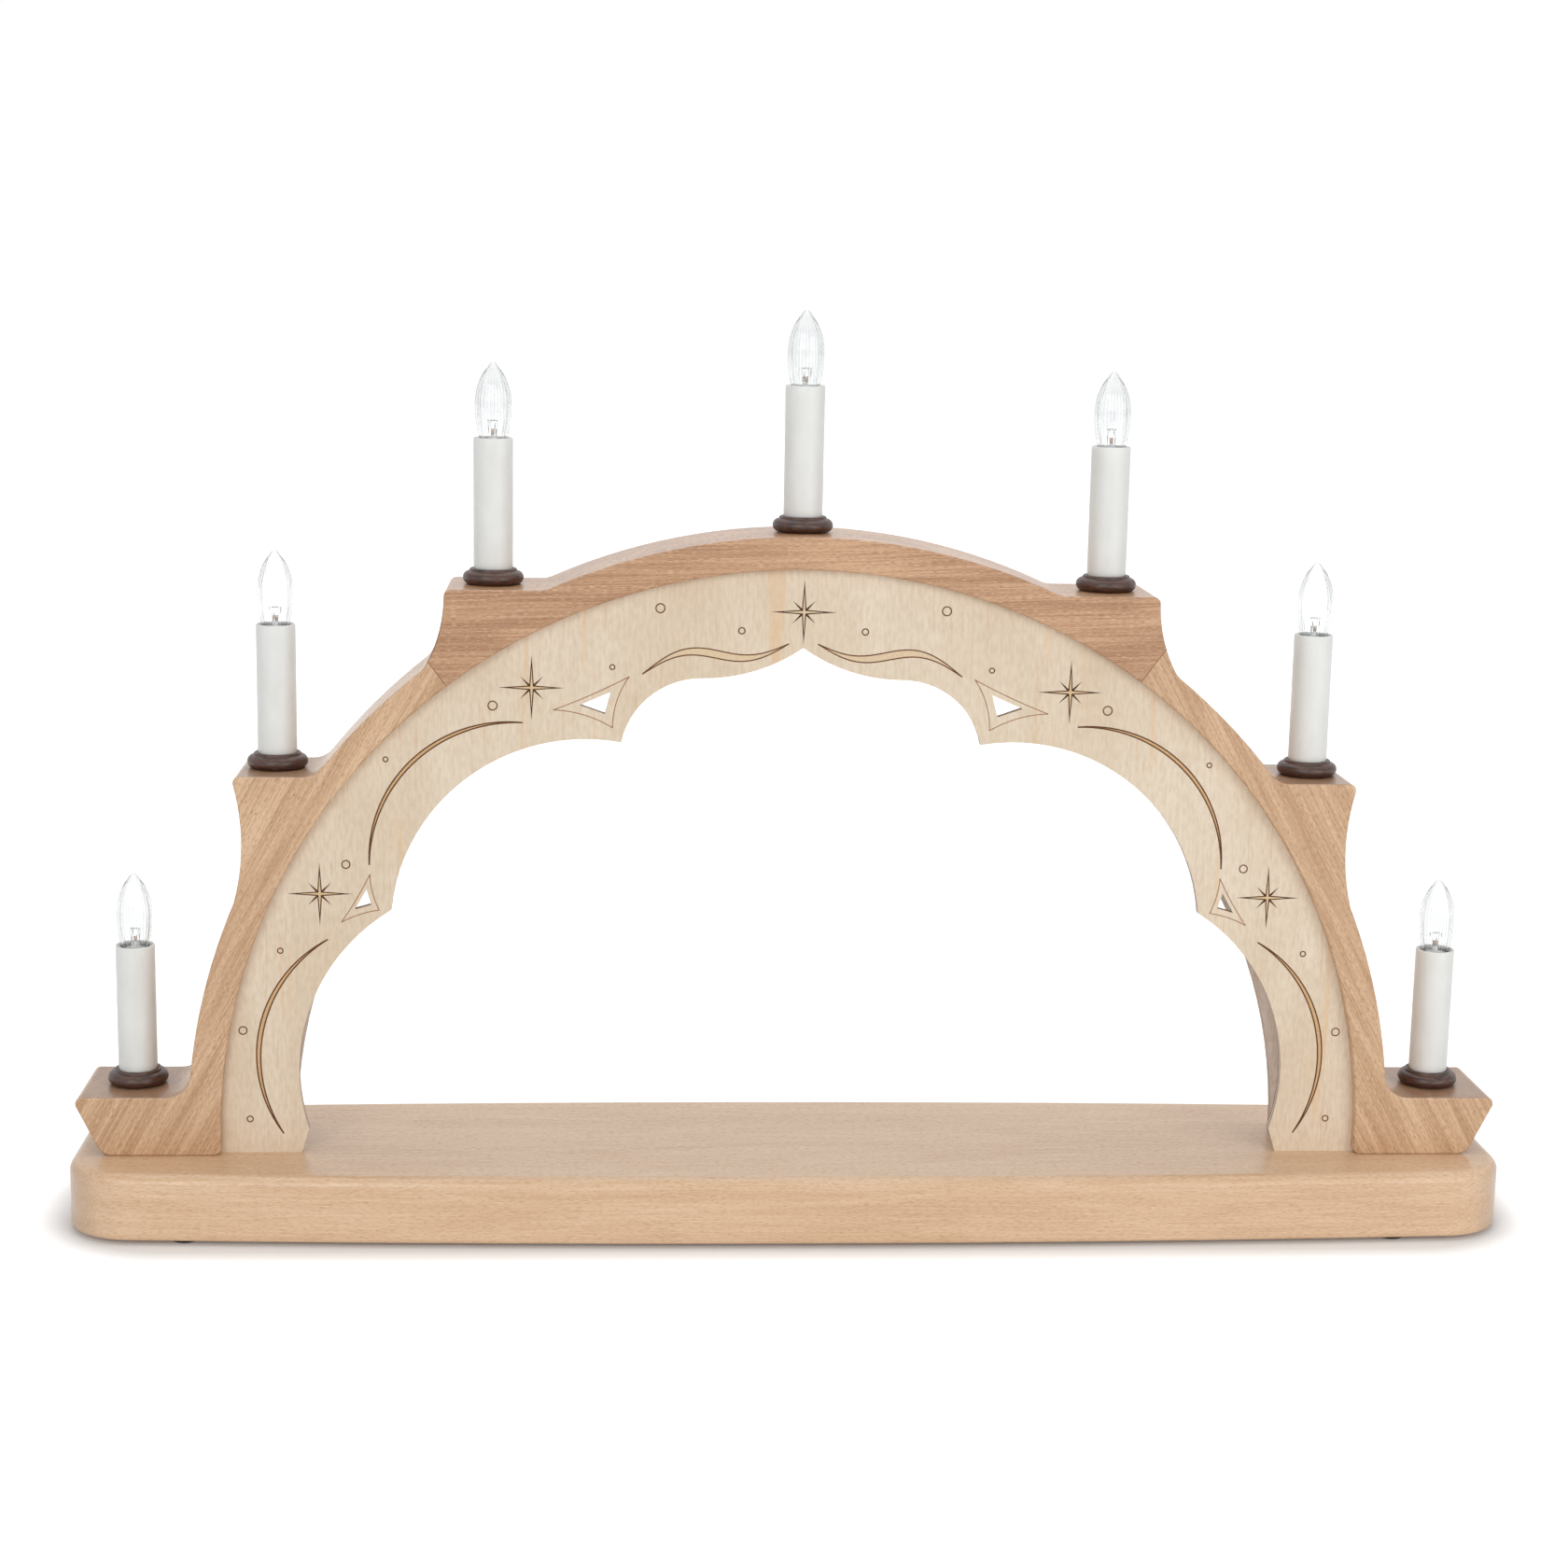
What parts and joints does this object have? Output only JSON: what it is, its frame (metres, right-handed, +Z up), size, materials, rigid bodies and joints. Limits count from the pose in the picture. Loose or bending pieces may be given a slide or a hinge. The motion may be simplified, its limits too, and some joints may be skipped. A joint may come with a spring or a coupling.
{
  "type": "candle arch",
  "caption": "Stepped wooden arch with a cusped, engraved front panel and electric candles on its consoles, standing on a bowed base board; each bulb unscrews upwards",
  "frame": {"origin": "on the ground, under the middle of the base board", "axes": "X to the right along the arch, Y from the engraved front to the back, Z up"},
  "size_m": [0.65, 0.1199, 0.411],
  "materials": {
    "beech_arch": "satin lacquer",
    "beech_base": "satin lacquer",
    "pale_plywood": "raw, laser cut",
    "cover_board": "raw board",
    "dark_wood": "stained satin",
    "candle_plastic": "satin",
    "socket_plastic": "matt",
    "clear_glass": "clear, fluted",
    "stem_glass": "clear with wires",
    "cap_metal": "nickelled",
    "screw_steel": "zinc plated",
    "black_rubber": "matt",
    "cable_sheath": "soft gloss"
  },
  "bodies": {
    "arch": {"arch_crown": "beech_arch", "arch_leg_left": "beech_arch", "arch_leg_right": "beech_arch", "mitre_dowels": "beech_base", "base_board": "beech_base", "base_screws": "screw_steel", "channel_cover": "cover_board", "cable_grommet": "black_rubber", "foot_front_left": "black_rubber", "foot_front_right": "black_rubber", "foot_back_left": "black_rubber", "foot_back_right": "black_rubber", "front_panel": "pale_plywood", "rear_panel": "pale_plywood", "wiring_loom": "cable_sheath", "ring_1": "dark_wood", "sleeve_1": "candle_plastic", "socket_1": "socket_plastic", "ring_2": "dark_wood", "sleeve_2": "candle_plastic", "socket_2": "socket_plastic", "ring_3": "dark_wood", "sleeve_3": "candle_plastic", "socket_3": "socket_plastic", "ring_4": "dark_wood", "sleeve_4": "candle_plastic", "socket_4": "socket_plastic", "ring_5": "dark_wood", "sleeve_5": "candle_plastic", "socket_5": "socket_plastic", "ring_6": "dark_wood", "sleeve_6": "candle_plastic", "socket_6": "socket_plastic", "ring_7": "dark_wood", "sleeve_7": "candle_plastic", "socket_7": "socket_plastic"},
    "bulb_1": {"bulb_glass_1": "clear_glass", "bulb_cap_1": "cap_metal", "bulb_stem_1": "stem_glass"},
    "bulb_2": {"bulb_glass_2": "clear_glass", "bulb_cap_2": "cap_metal", "bulb_stem_2": "stem_glass"},
    "bulb_3": {"bulb_glass_3": "clear_glass", "bulb_cap_3": "cap_metal", "bulb_stem_3": "stem_glass"},
    "bulb_4": {"bulb_glass_4": "clear_glass", "bulb_cap_4": "cap_metal", "bulb_stem_4": "stem_glass"},
    "bulb_5": {"bulb_glass_5": "clear_glass", "bulb_cap_5": "cap_metal", "bulb_stem_5": "stem_glass"},
    "bulb_6": {"bulb_glass_6": "clear_glass", "bulb_cap_6": "cap_metal", "bulb_stem_6": "stem_glass"},
    "bulb_7": {"bulb_glass_7": "clear_glass", "bulb_cap_7": "cap_metal", "bulb_stem_7": "stem_glass"}
  },
  "joints": [
    {"name": "bulb_1_unscrew", "type": "slide", "parent": "arch", "child": "bulb_1", "axis": [0, 0, 1], "range_m": [0, 0.03]},
    {"name": "bulb_2_unscrew", "type": "slide", "parent": "arch", "child": "bulb_2", "axis": [0, 0, 1], "range_m": [0, 0.03]},
    {"name": "bulb_3_unscrew", "type": "slide", "parent": "arch", "child": "bulb_3", "axis": [0, 0, 1], "range_m": [0, 0.03]},
    {"name": "bulb_4_unscrew", "type": "slide", "parent": "arch", "child": "bulb_4", "axis": [0, 0, 1], "range_m": [0, 0.03]},
    {"name": "bulb_5_unscrew", "type": "slide", "parent": "arch", "child": "bulb_5", "axis": [0, 0, 1], "range_m": [0, 0.03]},
    {"name": "bulb_6_unscrew", "type": "slide", "parent": "arch", "child": "bulb_6", "axis": [0, 0, 1], "range_m": [0, 0.03]},
    {"name": "bulb_7_unscrew", "type": "slide", "parent": "arch", "child": "bulb_7", "axis": [0, 0, 1], "range_m": [0, 0.03]}
  ]
}
